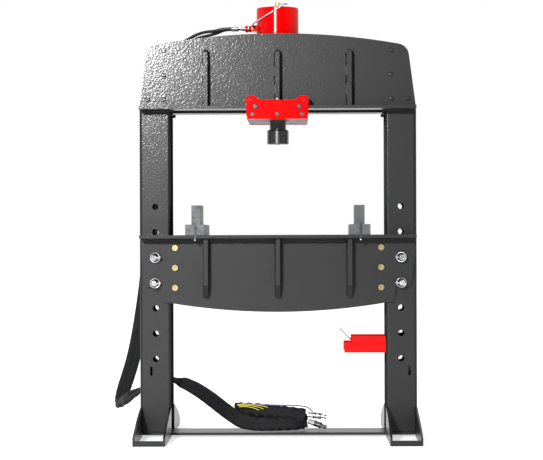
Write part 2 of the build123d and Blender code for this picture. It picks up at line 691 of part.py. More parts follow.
def gland():
    """The ram's guide in the mount plate, with a groove for its seal."""
    ring = rod(GLAND_R, (0, 0, MOUNT_LOW_Z), (0, 0, 1), MOUNT_PLATE)
    ring += rod(BARREL_BORE_R, (0, 0, MOUNT_TOP_Z), (0, 0, 1), GUIDE)
    ring -= rod(RAM_R + RAM_CLEAR, (0, 0, MOUNT_LOW_Z - 1), (0, 0, 1), MOUNT_PLATE + GUIDE + 2)
    return ring - rod(RAM_R + SEAL[0], (0, 0, SEAL_Z), (0, 0, 1), SEAL[1])


def ram_seal():
    ring = rod(RAM_R + SEAL[0], (0, 0, SEAL_Z), (0, 0, 1), SEAL[1])
    return ring - rod(RAM_R + RAM_CLEAR, (0, 0, SEAL_Z - 1), (0, 0, 1), SEAL[1] + 2)


def piston():
    disc = rod(BARREL_BORE_R - RAM_CLEAR, (0, 0, PISTON_LOW_Z), (0, 0, 1), PISTON)
    return chamfer(disc.edges().filter_by(GeomType.CIRCLE), 2)


def ram():
    return rod(RAM_R, (0, 0, TOE_TOP_Z), (0, 0, 1), PISTON_LOW_Z - TOE_TOP_Z)


def pressure_piece():
    """The ram's nose, bored underneath for a tool's shank."""
    nose = rod(TOE_R, (0, 0, TOE_LOW_Z), (0, 0, 1), TOE_HEIGHT)
    nose = chamfer(nose.edges().filter_by(GeomType.CIRCLE).sort_by(Axis.Z)[-1], 6)
    nose = fillet(nose.edges().filter_by(GeomType.CIRCLE).sort_by(Axis.Z)[0], 3)
    return nose - rod(TOOL_BORE_R, (0, 0, TOE_LOW_Z - 1), (0, 0, 1), TOOL_BORE_DEPTH + 1)


def manifold():
    """A block on the barrel's left side with both oil ports."""
    y = (-PORT_Y - BLOCK_EDGE, PORT_Y + BLOCK_EDGE)
    block = span((MANIFOLD_X[0], MANIFOLD_X[1] + 12), y, (PORT_Z - 14, PORT_Z + 14))
    block = chamfer(block.faces().sort_by(Axis.X)[0].edges(), 2)
    return block - rod(BARREL_R, (0, 0, PORT_Z - 40), (0, 0, 1), 80)


def port_pieces(y):
    """One port's adapter, and the nipple with the crimped ferrule that ends its hose."""
    x = MANIFOLD_X[0]
    collar = rod(13, (x, y, PORT_Z), (-1, 0, 0), COLLAR)
    nut = hexagon(26, (x - COLLAR, y, PORT_Z), (-1, 0, 0), NUT)
    x -= COLLAR + NUT
    cone = Cone(9, 5, NIPPLE * 0.7, align=(Align.CENTER, Align.CENTER, Align.MIN))
    nipple = Plane(origin=(x, y, PORT_Z), z_dir=(-1, 0, 0)) * cone
    nipple += rod(5, (x, y, PORT_Z), (-1, 0, 0), NIPPLE)
    ferrule = rod(FERRULE_R, (FERRULE_X, y, PORT_Z), (-1, 0, 0), FERRULE)
    ferrule = fillet(ferrule.edges().filter_by(GeomType.CIRCLE), 1.5)
    ferrule -= rod(HOSE_R + GAP, (HOSE_START_X, y, PORT_Z), (-1, 0, 0), FERRULE)
    return collar + nut, nipple + ferrule


PIPE_TOP_Z = BARREL_TOP_Z + 16
PIPE_FRONT_Y = -BARREL_R - 9
PIPE_END_X = MANIFOLD_X[0] + 10
BLOCK_FRONT_Y = -PORT_Y - BLOCK_EDGE


def return_pipe():
    """A thin pipe from the top port, across the barrel's front and down to the port block."""
    x, y = TOP_PORT
    path = FilletPolyline(
        (x + 8, y, PIPE_TOP_Z),
        (x + 50, y, PIPE_TOP_Z),
        (x + 40, PIPE_FRONT_Y, PIPE_TOP_Z - 4),
        (-60, PIPE_FRONT_Y, PORT_Z + 50),
        (PIPE_END_X, BLOCK_FRONT_Y - 41, PORT_Z + 17),
        (PIPE_END_X, BLOCK_FRONT_Y - 27, PORT_Z),
        (PIPE_END_X, BLOCK_FRONT_Y - 5, PORT_Z),
        radius=[11, 11, 30, 12, 10],
    )
    return sweep(Plane(origin=path @ 0, z_dir=path % 0) * Circle(PIPE_R), path)


def pipe_fittings():
    """The plated elbow on the barrel's top and the coupling on the port block's front."""
    x, y = TOP_PORT
    stub = rod(6, (x, y, BARREL_TOP_Z - CAP / 2), (0, 0, 1), CAP / 2)
    body = hexagon(17, (x, y, BARREL_TOP_Z), (0, 0, 1), 24)
    body -= rod(PIPE_R, (x + 8, y, PIPE_TOP_Z), (1, 0, 0), 20)
    coupling = hexagon(14, (PIPE_END_X, BLOCK_FRONT_Y, PORT_Z), (0, -1, 0), 5)
    return [stub + body, coupling]


def build_cylinder():
    save("cylinder_barrel", barrel())
    save("ram_gland", gland())
    save("ram_seal", ram_seal())
    save("piston", piston())
    save("ram", ram())
    save("pressure_piece", pressure_piece())
    save("port_block", manifold())
    rows = [port_pieces(-PORT_Y), port_pieces(PORT_Y)]
    for k, name in enumerate(("port_adapters", "hose_ends")):
        save(name, [row[k] for row in rows])
    save("return_pipe", return_pipe())
    save("pipe_fittings", pipe_fittings())


# ---------------------------------------------------------------- hoses
HOSE_FRONT = [
    (HOSE_START_X, -PORT_Y, PORT_Z), (-266, -PORT_Y, PORT_Z),
    (-308, -8, 1957), (-350, 18, 1958), (-396, 52, 1949),
    (-438, 90, 1931), (-478, 140, 1914), (-512, 196, 1878), (-545, 238, 1815), (-572, 256, 1735),
    (-594, 261, 1640), (-612, 262, 1545), (-627, 262, 1455),
]
HOSE_REAR = [
    (HOSE_START_X, PORT_Y, PORT_Z), (-258, PORT_Y, PORT_Z),
    (-296, 27, 1951), (-342, 44, 1941), (-386, 72, 1935),
    (-424, 106, 1923), (-455, 150, 1909), (-486, 202, 1868), (-518, 241, 1803), (-546, 258, 1722),
    (-569, 262, 1630), (-589, 263, 1540), (-605, 262, 1455),
]
SLEEVE = [
    (-616, 262, 1413), (-623, 262, 1240), (-636, 263, 1050), (-650, 266, 850), (-676, 278, 650),
    (-703, 300, 490), (-731, 330, 365), (-756, 352, 285), (-777, 362, 223), (-793, 352, 175),
    (-801, 316, 144), (-796, 268, 135), (-775, 222, 147), (-742, 184, 170), (-704, 161, 192),
    (-664, 151, 216), (-622, 149, 243), (-572, 149, 260), (-514, 148, 255), (-448, 126, 234),
    (-385, 90, 202), (-323, 40, 163), (-270, -14, 127), (-222, -56, 97),
]
COIL_X = (-238.0, 158.0)
COIL_HALF_Y = 92.0
COIL_TOP_Z = 146.0
CUFF_Z = (1413.0, 1455.0)
COUPLING_HEX = 26.0
COUPLING_GRIP = 40.0
NOSE_R = 9.5
NOSE = 26.0
COUPLINGS = (((140, -50, 101), (1, -0.1, -0.12)), ((144, -40, 68), (1, 0.1, -0.36)))


def bend_radii(points, name):
    """The radius of each corner: as large as its two runs allow."""
    radii = []
    for a, b, c in zip(points, points[1:], points[2:]):
        first, second = Vector(*b) - Vector(*a), Vector(*c) - Vector(*b)
        turn = radians(first.get_angle(second))
        radii.append(ARC_SHARE * min(first.length, second.length) / tan(turn / 2))
    print(name, "radii", [round(r) for r in radii])
    return radii


def tube(points, radius, name):
    path = FilletPolyline(*points, radius=bend_radii(points, name))
    solid = sweep(Plane(origin=path @ 0, z_dir=path % 0) * Circle(radius), path)
    share = solid.volume / (pi * radius**2 * path.length)
    print(name, "length", round(path.length), "volume share", round(share, 4))
    return solid


def coil():
    """The outer shape of the sleeve's folded end, lying on the base plate."""
    (x0, x1), z0 = COIL_X, BASE_TOP_Z
    outline = RectangleRounded(x1 - x0, 2 * COIL_HALF_Y, COIL_HALF_Y - 6)
    body = Pos((x0 + x1) / 2, 0, z0) * extrude(outline, COIL_TOP_Z - z0)
    body = fillet(body.edges().group_by(Axis.Z)[-1], 24)
    body -= span((x0 + 70, x1 - 70), (-24, 24), (z0 + 1, COIL_TOP_Z + 1))
    for start, direction in COUPLINGS:
        body -= coupling(start, direction)
    return body


def cuff():
    """The clamped mouth of the sleeve, where the two hoses go in."""
    middle = (HOSE_FRONT[-1][0] + HOSE_REAR[-1][0]) / 2
    outline = RectangleRounded(54, 27, 12)
    return Pos(middle, HOSE_FRONT[-1][1], CUFF_Z[0]) * extrude(outline, CUFF_Z[1] - CUFF_Z[0])


def coupling(start, direction):
    """A plated quick coupling on a hose's end: hexagon, grip and nose."""
    aim = Vector(*direction).normalized()
    place = Vector(*start)
    body = hexagon(22, place, aim, COUPLING_HEX)
    place += aim * COUPLING_HEX
    body += rod(14, place, aim, COUPLING_GRIP)
    place += aim * COUPLING_GRIP
    return body + rod(NOSE_R, place, aim, NOSE)


CABLE = [
    (-196, -46, 147), (-165, -57, 151), (-112, -64, 150), (-48, -66, 151), (16, -62, 150),
    (78, -55, 152), (124, -51, 147), (150, -51, 132), (164, -52, 113),
]


def build_hoses():
    save("hoses", [tube(HOSE_FRONT, HOSE_R, "front hose"), tube(HOSE_REAR, HOSE_R, "rear hose")])
    save("sleeve_cuff", cuff())
    save("hose_sleeve", tube(SLEEVE, SLEEVE_R, "sleeve"))
    save("sleeve_coil", coil())
    save("quick_couplings", [coupling(*row) for row in COUPLINGS])
    save("control_cable", tube(CABLE, CABLE_R, "cable"))


build_frame()
build_fittings()
build_pins()
build_blocks()
build_carriage()
build_cylinder()
build_hoses()
print(len(written), "nodes")
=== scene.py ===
import json
from math import cos, exp, pi, radians, sin, sqrt

import bpy
from mathutils import Euler, Matrix, Vector


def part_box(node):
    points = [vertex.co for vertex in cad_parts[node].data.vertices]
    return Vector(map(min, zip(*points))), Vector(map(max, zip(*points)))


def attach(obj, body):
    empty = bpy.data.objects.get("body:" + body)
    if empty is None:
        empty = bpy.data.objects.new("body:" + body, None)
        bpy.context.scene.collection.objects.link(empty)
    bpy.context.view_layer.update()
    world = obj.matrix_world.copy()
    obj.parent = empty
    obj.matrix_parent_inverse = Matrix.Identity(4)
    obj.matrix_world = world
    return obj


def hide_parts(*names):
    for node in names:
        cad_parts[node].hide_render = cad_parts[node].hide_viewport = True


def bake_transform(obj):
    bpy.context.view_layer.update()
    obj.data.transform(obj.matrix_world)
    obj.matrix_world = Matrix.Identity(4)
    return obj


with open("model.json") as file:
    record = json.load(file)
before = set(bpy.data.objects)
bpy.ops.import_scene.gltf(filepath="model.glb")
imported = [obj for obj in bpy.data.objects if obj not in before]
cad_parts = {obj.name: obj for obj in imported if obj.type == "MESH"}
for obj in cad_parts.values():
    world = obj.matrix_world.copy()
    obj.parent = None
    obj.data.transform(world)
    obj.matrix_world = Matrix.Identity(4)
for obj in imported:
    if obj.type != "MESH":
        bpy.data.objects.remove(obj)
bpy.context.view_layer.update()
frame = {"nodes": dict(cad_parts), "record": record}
nodes = frame["nodes"]
scene = bpy.context.scene
scene.view_settings.view_transform = "Standard"

MM = 0.001


# ---------------------------------------------------------------- camera
LENS = 126.4
CAMERA_AT = (0.106, -9.255, 0.958)
CAMERA_YAW = 0.86
CAMERA_PITCH = 0.21
CAMERA_ROLL = -0.2

camera_data = bpy.data.cameras.new("camera")
camera_data.lens = LENS
camera_data.sensor_width = 36.0
camera = bpy.data.objects.new("camera", camera_data)
scene.collection.objects.link(camera)
turn = Euler((0, 0, radians(CAMERA_YAW))).to_matrix()
turn = turn @ Euler((radians(90 + CAMERA_PITCH), 0, 0)).to_matrix()
turn = turn @ Euler((0, 0, radians(CAMERA_ROLL))).to_matrix()
camera.matrix_world = Matrix.Translation(CAMERA_AT) @ turn.to_4x4()
scene.camera = camera


# ---------------------------------------------------------------- materials
class Nodes:
    """A material's node tree with a Principled shader, and short calls that add nodes to it."""

    def __init__(self, name):
        self.material = bpy.data.materials.new(name)
        self.material.use_nodes = True
        self.tree = self.material.node_tree
        self.shader = self.tree.nodes["Principled BSDF"]
        coordinates = self.add("ShaderNodeTexCoord")
        self.place = coordinates.outputs["Object"]

    def add(self, kind, **values):
        node = self.tree.nodes.new(kind)
        for key, value in values.items():
            setattr(node, key, value)
        return node

    def link(self, output, socket):
        self.tree.links.new(output, socket)

    def noise(self, scale, detail=3.0, rough=0.55, stretch=None):
        node = self.add("ShaderNodeTexNoise")
        node.inputs["Scale"].default_value = scale
        node.inputs["Detail"].default_value = detail
        node.inputs["Roughness"].default_value = rough
        place = self.place
        if stretch:
            mapping = self.add("ShaderNodeMapping")
            mapping.inputs["Scale"].default_value = stretch
            self.link(place, mapping.inputs["Vector"])
            place = mapping.outputs["Vector"]
        self.link(place, node.inputs["Vector"])
        return node.outputs["Fac"]

    def remap(self, value, low, high, start=0.3, end=0.7):
        node = self.add("ShaderNodeMapRange")
        self.link(value, node.inputs["Value"])
        node.inputs["From Min"].default_value = start
        node.inputs["From Max"].default_value = end
        node.inputs["To Min"].default_value = low
        node.inputs["To Max"].default_value = high
        return node.outputs["Result"]

    def mix(self, factor, first, second):
        node = self.add("ShaderNodeMix", data_type="RGBA")
        self.link(factor, node.inputs["Factor"])
        for socket, value in ((node.inputs[6], first), (node.inputs[7], second)):
            if isinstance(value, tuple):
                socket.default_value = (*value, 1)
            else:
                self.link(value, socket)
        return node.outputs[2]

    def bump(self, height, distance, strength=1.0, below=None):
        node = self.add("ShaderNodeBump")
        node.inputs["Distance"].default_value = distance
        node.inputs["Strength"].default_value = strength
        self.link(height, node.inputs["Height"])
        if below:
            self.link(below, node.inputs["Normal"])
        return node.outputs["Normal"]

    def set(self, **values):
        for key, value in values.items():
            socket = self.shader.inputs[key.replace("_", " ")]
            if isinstance(value, (int, float)):
                socket.default_value = value
            elif isinstance(value, tuple):
                socket.default_value = (*value, 1)
            else:
                self.link(value, socket)


def shade(color, factor):
    return tuple(min(1.0, c * factor) for c in color)


def paint(name, color, roughness, peel, coat, gloss=0.12, level=0.5):
    """Sprayed paint: a slightly uneven gloss with orange peel in its clear top, and fine dust."""
    m = Nodes(name)
    cloud = m.noise(3.0, 4.0)
    fine = m.noise(420.0, 2.0)
    orange = m.noise(115.0, 2.0, 0.5)
    tone = m.mix(m.remap(cloud, 0, 1), shade(color, 0.95), shade(color, 1.06))
    tone = m.mix(m.remap(fine, 0, 0.12, 0.55, 0.75), tone, shade(color, 1.5))
    m.set(Base_Color=tone, Roughness=m.remap(m.noise(9.0, 3.0), roughness - 0.015, roughness + 0.015))
    m.set(Coat_Weight=coat, Coat_Roughness=gloss, Specular_IOR_Level=level)
    m.set(Normal=m.bump(orange, peel * 0.25), Coat_Normal=m.bump(orange, peel))
    return m.material


def brushed(name, color, roughness, stretch, depth=0.00008, metallic=1.0, spots=0.2):
    """Machined or plated steel: fine lines along one way, uneven roughness and faint stains."""
    m = Nodes(name)
    lines = m.noise(60.0, 4.0, 0.7, stretch)
    stain = m.noise(35.0, 6.0, 0.65)
    tone = m.mix(m.remap(lines, 0, 1, 0.35, 0.65), shade(color, 0.82), shade(color, 1.12))
    tone = m.mix(m.remap(stain, 0, spots, 0.5, 0.7), tone, shade(color, 0.45))
    m.set(Base_Color=tone, Metallic=metallic, Roughness=m.remap(stain, roughness - 0.06, roughness + 0.12))
    m.set(Normal=m.bump(lines, depth))
    return m.material


def rubber(name, color, roughness, wrap):
    """Black rubber with a cloth-wrapped print and scuffs."""
    m = Nodes(name)
    cloth = m.noise(wrap, 2.0, 0.5, (1, 1, 0.6))
    scuff = m.noise(45.0, 6.0, 0.7)
    tone = m.mix(m.remap(scuff, 0, 0.7, 0.5, 0.75), color, shade(color, 2.4))
    m.set(Base_Color=tone, Roughness=m.remap(scuff, roughness - 0.08, roughness + 0.12))
    m.set(Normal=m.bump(cloth, 0.0003))
    return m.material


def woven(name, color):
    """A tight nylon weave read from the piece's own length and width."""
    m = Nodes(name)
    own = m.add("ShaderNodeUVMap", uv_map="weave")
    waves = []
    for direction in ("X", "Y"):
        wave = m.add("ShaderNodeTexWave", wave_type="BANDS", bands_direction=direction, wave_profile="SIN")
        wave.inputs["Scale"].default_value = 1.0
        m.link(own.outputs["UV"], wave.inputs["Vector"])
        waves.append(wave.outputs["Fac"])
    check = m.add("ShaderNodeMath", operation="MULTIPLY")
    for k, wave in enumerate(waves):
        m.link(wave, check.inputs[k])
    fuzz = m.noise(240.0, 4.0, 0.7)
    crease = m.noise(18.0, 4.0, 0.6)
    tone = m.mix(m.remap(check.outputs["Value"], 0, 1, 0, 1), shade(color, 0.45), shade(color, 1.5))
    tone = m.mix(m.remap(fuzz, 0, 0.3, 0.5, 0.8), tone, shade(color, 2.2))
    tone = m.mix(m.remap(crease, 0, 0.35, 0.45, 0.7), tone, shade(color, 1.7))
    relief = m.bump(check.outputs["Value"], 0.0006, 0.8, m.bump(crease, 0.002, 0.4))
    m.set(Base_Color=tone, Roughness=m.remap(fuzz, 0.6, 0.85), Normal=relief)
    m.set(Sheen_Weight=0.06, Sheen_Roughness=0.4, Specular_IOR_Level=0.25)
    return m.material


def plastic(name, color, roughness):
    m = Nodes(name)
    cloud = m.noise(30.0, 4.0)
    grain = m.noise(700.0, 2.0)
    tone = m.mix(m.remap(cloud, 0, 1), shade(color, 0.88), shade(color, 1.1))
    m.set(Base_Color=tone, Roughness=m.remap(cloud, roughness - 0.05, roughness + 0.08))
    m.set(Normal=m.bump(grain, 0.0001))
    return m.material


CHARCOAL = (0.0070, 0.0072, 0.0078)
RED = (0.58, 0.0006, 0.0010)
MATERIALS = {
    "frame_paint": paint("frame_paint", CHARCOAL, 0.42, 0.00055, 0.30, 0.15, 0.20),
    "red_paint": paint("red_paint", RED, 0.14, 0.00002, 0.0, 0.05, 0.12),
    "zinc_plate": brushed("zinc_plate", (0.50, 0.50, 0.52), 0.26, (1, 1, 0.2)),
    "zinc_yellow": brushed("zinc_yellow", (0.23, 0.19, 0.10), 0.34, (1, 1, 0.3)),
    "chrome_steel": brushed("chrome_steel", (0.82, 0.82, 0.84), 0.12, (0.3, 0.3, 4), 0.00002, 1.0, 0.08),
    "bare_steel": brushed("bare_steel", (0.065, 0.067, 0.070), 0.42, (0.25, 1, 2.5), 0.00008, 0.6, 0.4),
    "black_steel": paint("black_steel", (0.012, 0.012, 0.013), 0.30, 0.00010, 0.3),
    "hose_rubber": rubber("hose_rubber", (0.012, 0.012, 0.012), 0.38, 900.0),
    "sleeve_fabric": woven("sleeve_fabric", (0.0065, 0.0067, 0.0078)),
    "cable_plastic": plastic("cable_plastic", (0.10, 0.08, 0.17), 0.42),
    "seal_rubber": rubber("seal_rubber", (0.02, 0.02, 0.02), 0.5, 400.0),
}
DETAIL = {
    "wire_yellow": plastic("wire_yellow", (0.80, 0.62, 0.05), 0.4),
    "bright_steel": brushed("bright_steel", (0.86, 0.86, 0.88), 0.16, (1, 1, 1), 0.00002, 1.0, 0.05),
    "dark_steel": brushed("dark_steel", (0.10, 0.10, 0.105), 0.35, (1, 1, 1), 0.00006, 0.9, 0.3),
}


def dress(obj, material):
    obj.data.materials.clear()
    obj.data.materials.append(material)


# ---------------------------------------------------------------- CAD nodes
BEVELS = {
    "beam_front_plate": 1.6, "beam_rear_plate": 1.6, "beam_flanges": 1.5, "beam_ribs": 1.5,
    "table_front_plate": 1.6, "table_rear_plate": 1.6, "table_top_strips": 1.5, "table_ribs": 1.5, "foot_plates": 1.2, "foot_bars": 1.2,
    "base_cross_plate": 0.5, "accessory_shelf": 0.6, "carriage_plates": 1.2, "carriage_mount_plate": 1.5,
    "press_block_left": 1.2, "press_block_right": 1.2, "press_bar_left": 1.2, "press_bar_right": 1.2,
}
for part in frame["record"]["subparts"]:
    dress(nodes[part["node"]], MATERIALS[part["material_slot"]])
for node, width in BEVELS.items():
    edge = nodes[node].modifiers.new("edge", "BEVEL")
    edge.width = width * MM
    edge.segments = 2
    edge.limit_method = "ANGLE"
    edge.angle_limit = radians(38)
    edge.use_clamp_overlap = True


# ---------------------------------------------------------------- mesh helpers
def new_mesh(name, verts, faces, material, smooth=True):
    data = bpy.data.meshes.new(name)
    data.from_pydata([tuple(v) for v in verts], [], faces)
    data.validate()
    if smooth:
        data.shade_smooth()
    obj = bpy.data.objects.new(name, data)
    scene.collection.objects.link(obj)
    dress(obj, material)
    return obj


def join_rings(rings, closed=False, caps=True):
    """The faces between rings of equal size, with an end cap on each end."""
    size = len(rings[0])
    verts = [v for ring in rings for v in ring]
    faces = []
    count = len(rings)
    for i in range(count if closed else count - 1):
        a, b = i * size, (i + 1) % count * size
        for k in range(size):
            n = (k + 1) % size
            faces.append((a + k, a + n, b + n, b + k))
    if caps and not closed:
        faces.append(tuple(reversed(range(size))))
        faces.append(tuple(range(len(verts) - size, len(verts))))
    return verts, faces


def spline_points(name, route, resolution=14):
    """The points of the smooth line that has the route as its control points."""
    curve = bpy.data.curves.new(name, "CURVE")
    curve.dimensions = "3D"
    curve.resolution_u = resolution
    spline = curve.splines.new("NURBS")
    spline.points.add(len(route) - 1)
    for point, place in zip(spline.points, route):
        point.co = (*place, 1)
    spline.order_u = 3
    spline.use_endpoint_u = True
    holder = bpy.data.objects.new(name, curve)
    scene.collection.objects.link(holder)
    bpy.context.view_layer.update()
    line = bpy.data.meshes.new_from_object(holder)
    points = [v.co.copy() for v in line.vertices]
    bpy.data.objects.remove(holder)
    bpy.data.meshes.remove(line)
    bpy.data.curves.remove(curve)
    return points


def path_length(points):
    return sum((b - a).length for a, b in zip(points, points[1:]))


def even(points, step):
    """The same line with its points an even step apart."""
    total = path_length(points)
    count = max(2, round(total / step))
    spacing = total / count
    out, travelled, target = [points[0]], 0.0, spacing
    for a, b in zip(points, points[1:]):
        run = (b - a).length
        while run > 0 and travelled + run >= target - 1e-9 and len(out) < count:
            out.append(a.lerp(b, (target - travelled) / run))
            target += spacing
        travelled += run
    out.append(points[-1])
    return out


def frames_along(points, first_side):
    """For each point the way it goes, and a side that doesn't twist."""
    rows, side = [], Vector(first_side)
    for k in range(len(points)):
        ahead = points[min(k + 1, len(points) - 1)] - points[max(k - 1, 0)]
        ahead.normalize()
        side = (side - ahead * side.dot(ahead)).normalized()
        rows.append((ahead, side))
    return rows


def tube_mesh(name, points, radius, material, around=20):
    rings = []
    angles = [2 * pi * a / around for a in range(around)]
    for point, (ahead, side) in zip(points, frames_along(points, (0.1, 0.2, 1))):
        up = ahead.cross(side)
        rings.append([point + (side * cos(a) + up * sin(a)) * radius for a in angles])
    return new_mesh(name, *join_rings(rings), material)


def metres(route):
    return [(x * MM, y * MM, z * MM) for x, y, z in route]


# ---------------------------------------------------------------- hoses
PORT_Y, PORT_Z = 18.0, 1968.5
HOSE_START_X = -216.0
HOSE_FRONT = metres([
    (HOSE_START_X, -PORT_Y, PORT_Z), (-266, -PORT_Y, PORT_Z), (-308, -8, 1957), (-350, 18, 1958), (-396, 52, 1949),
    (-438, 90, 1931), (-478, 140, 1914), (-512, 196, 1878), (-545, 238, 1815), (-572, 256, 1735),
    (-594, 261, 1640), (-612, 262, 1545), (-627, 262, 1455),
])
HOSE_REAR = metres([
    (HOSE_START_X, PORT_Y, PORT_Z), (-258, PORT_Y, PORT_Z), (-296, 27, 1951), (-342, 44, 1941), (-386, 72, 1935),
    (-424, 106, 1923), (-455, 150, 1909), (-486, 202, 1868), (-518, 241, 1803), (-546, 258, 1722),
    (-569, 262, 1630), (-589, 263, 1540), (-605, 262, 1455),
])
HOSE_D = 0.015

for name, route in (("hose_front", HOSE_FRONT), ("hose_rear", HOSE_REAR)):
    line = even(spline_points(name, route), 0.005)
    hose = tube_mesh(name, line, HOSE_D / 2, MATERIALS["hose_rubber"], 24)
    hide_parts("hoses")
    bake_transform(hose)


# ---------------------------------------------------------------- sleeve
SLEEVE = metres([
    (-616, 262, 1413), (-623, 262, 1240), (-636, 263, 1050), (-650, 266, 850), (-676, 278, 650),
    (-703, 300, 490), (-731, 330, 365), (-756, 352, 285), (-777, 362, 223), (-793, 352, 175),
    (-801, 316, 144), (-796, 268, 135), (-775, 222, 147), (-742, 184, 170), (-704, 161, 192),
    (-664, 151, 216), (-622, 149, 243), (-572, 149, 260), (-514, 148, 255), (-448, 126, 234),
    (-385, 90, 202), (-323, 40, 163), (-270, -14, 127), (-222, -56, 97),
])
COIL = metres([
    (-184, -76, 72), (-120, -80, 59), (-50, -80, 57), (20, -78, 57), (82, -66, 58), (122, -36, 61), (134, 6, 65),
    (116, 46, 70), (66, 72, 77), (-4, 80, 86), (-84, 78, 96), (-156, 64, 106), (-206, 32, 116), (-212, -6, 124),
    (-190, -38, 128), (-136, -56, 127), (-68, -62, 122), (-4, -62, 115), (66, -58, 107), (128, -51, 98),
])
# The way the flat sleeve's width lies at control points of the route.
WIDTH_WAYS = {
    0: (1, 0, 0), 7: (1, 0, 0.1), 9: (1, 0, 0.35), 11: (0.75, 0, 1), 12: (0.45, 0.1, 1),
    13: (0.3, 0.3, 1), 14: (0.25, 0.9, 0.7), 15: (0.1, 1, 0.2), 17: (0, 1, 0), 18: (0, 0.9, 0.25),
    19: (0.3, 0.5, 0.9), 20: (0.45, 0.1, 1), 22: (0.5, 0.1, 1), 24: (0.1, 0, 1), 43: (0, 0, 1),
}
SLEEVE_WIDTH = 0.070
SLEEVE_THICK = 0.017
SLEEVE_AROUND = 40


def width_way(at):
    keys = sorted(WIDTH_WAYS)
    for low, high in zip(keys, keys[1:]):
        if at <= high:
            share = max(0.0, (at - low) / (high - low))
            share = share * share * (3 - 2 * share)
            return Vector(WIDTH_WAYS[low]).lerp(Vector(WIDTH_WAYS[high]), share)
    return Vector(WIDTH_WAYS[keys[-1]])


RUFFLE_FROM = 24.0


def sleeve_section(angle, k, at):
    """A flattened tube with the two hoses showing as ridges, creased by slow and quick folds."""
    across = cos(angle)
    ruffle = min(1.0, max(0.0, (at - RUFFLE_FROM) / 3))
    gather = min(1.0, max(0.0, 1 - abs(at - 11) / 3.5))
    ridge = 1 - 0.38 * exp(-((across / 0.22) ** 2))
    thick = SLEEVE_THICK / 2 * sqrt(max(0.0, 1 - abs(across) ** 3.0)) * ridge
    fold = 0.0011 * sin(k * 0.55 + 3.0 * across) * sin(k * 0.13 + across)
    frill = across * across * (0.0070 * sin(k * 0.83 + 1.2 * across) + 0.0036 * sin(k * 1.71))
    sign = 1 if sin(angle) >= 0 else -1
    width = SLEEVE_WIDTH / 2 * (1 - 0.10 * ruffle - 0.14 * min(1.0, max(0.0, 1 - abs(at - 18) / 3)))
    width *= 1 + (0.05 * ruffle + 0.05 * gather) * sin(k * 0.9)
    return across * width, sign * thick + fold + frill * max(ruffle, 0.7 * gather)


route = SLEEVE + COIL
line = even(spline_points("sleeve_line", route, 20), 0.006)
rings, share = [], []
for k, point in enumerate(line):
    ahead = (line[min(k + 2, len(line) - 1)] - line[max(k - 2, 0)]).normalized()
    nearest = k / (len(line) - 1)
    share.append(nearest)
    rings.append((point, ahead))
control = [Vector(p) for p in route]
run = [0.0]
for a, b in zip(control, control[1:]):
    run.append(run[-1] + (b - a).length)
verts = []
for k, (point, ahead) in enumerate(rings):
    target = share[k] * run[-1]
    step = next(i for i in range(1, len(run)) if run[i] >= target - 1e-9)
    at = step - 1 + (target - run[step - 1]) / (run[step] - run[step - 1])
    way = width_way(at)
    way = (way - ahead * way.dot(ahead)).normalized()
    normal = ahead.cross(way)
    ring = []
    for a in range(SLEEVE_AROUND):
        x, y = sleeve_section(2 * pi * a / SLEEVE_AROUND, k, at)
        ring.append(point + way * x + normal * y)
    verts.append(ring)
sleeve = new_mesh("hose_sleeve_ribbon", *join_rings(verts), MATERIALS["sleeve_fabric"])
weave = sleeve.data.uv_layers.new(name="weave")
size = SLEEVE_AROUND
for loop in sleeve.data.loops:
    ring, spot = divmod(loop.vertex_index, size)
    weave.data[loop.index].uv = (ring * 0.006 * 90, spot * (2 * SLEEVE_WIDTH / size) * 90)
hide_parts("hose_sleeve", "sleeve_coil")
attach(sleeve, "frame")


# ---------------------------------------------------------------- cuff
CUFF_Z = (1.411, 1.457)
CUFF_MIDDLE = (-0.616, 0.262)
rings = []
for k in range(15):
    t = k / 14
    z = CUFF_Z[0] + t * (CUFF_Z[1] - CUFF_Z[0])
    squeeze = 1 - 0.10 * exp(-(((t - 0.45) / 0.16) ** 2)) - 0.10 * (1 - t) ** 3 + 0.03 * sin(t * 9)
    ring = []
    for a in range(72):
        angle = 2 * pi * a / 72
        gather = 1 + 0.035 * sin(angle * 11 + 0.8 * t) * (1 - 0.3 * t)
        power = 2.0 / 3.2
        x = (abs(cos(angle)) ** power) * (1 if cos(angle) >= 0 else -1) * 0.0285 * squeeze * gather
        y = (abs(sin(angle)) ** power) * (1 if sin(angle) >= 0 else -1) * 0.0145 * squeeze * gather
        ring.append(Vector((CUFF_MIDDLE[0] + x, CUFF_MIDDLE[1] + y, z)))
    rings.append(ring)
cuff = new_mesh("sleeve_mouth", *join_rings(rings), MATERIALS["sleeve_fabric"])
weave = cuff.data.uv_layers.new(name="weave")
for loop in cuff.data.loops:
    ring, spot = divmod(loop.vertex_index, 72)
    weave.data[loop.index].uv = (ring * 0.0033 * 90, spot * 0.0021 * 90)
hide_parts("sleeve_cuff")
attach(cuff, "frame")
band = []
for k in range(96):
    angle = 2 * pi * k / 96
    power = 2.0 / 3.2
    x = (abs(cos(angle)) ** power) * (1 if cos(angle) >= 0 else -1)
    y = (abs(sin(angle)) ** power) * (1 if sin(angle) >= 0 else -1)
    middle = Vector((CUFF_MIDDLE[0], CUFF_MIDDLE[1], 1.432))
    out = Vector((x * 0.0275, y * 0.0137, 0))
    band.append([middle + out + out.normalized() * r + Vector((0, 0, z)) for r, z in
                 ((0, -0.004), (0.0014, -0.004), (0.0014, 0.004), (0, 0.004))])
strap = new_mesh("sleeve_strap", *join_rings(band, closed=True), DETAIL["dark_steel"], smooth=False)
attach(strap, "frame")


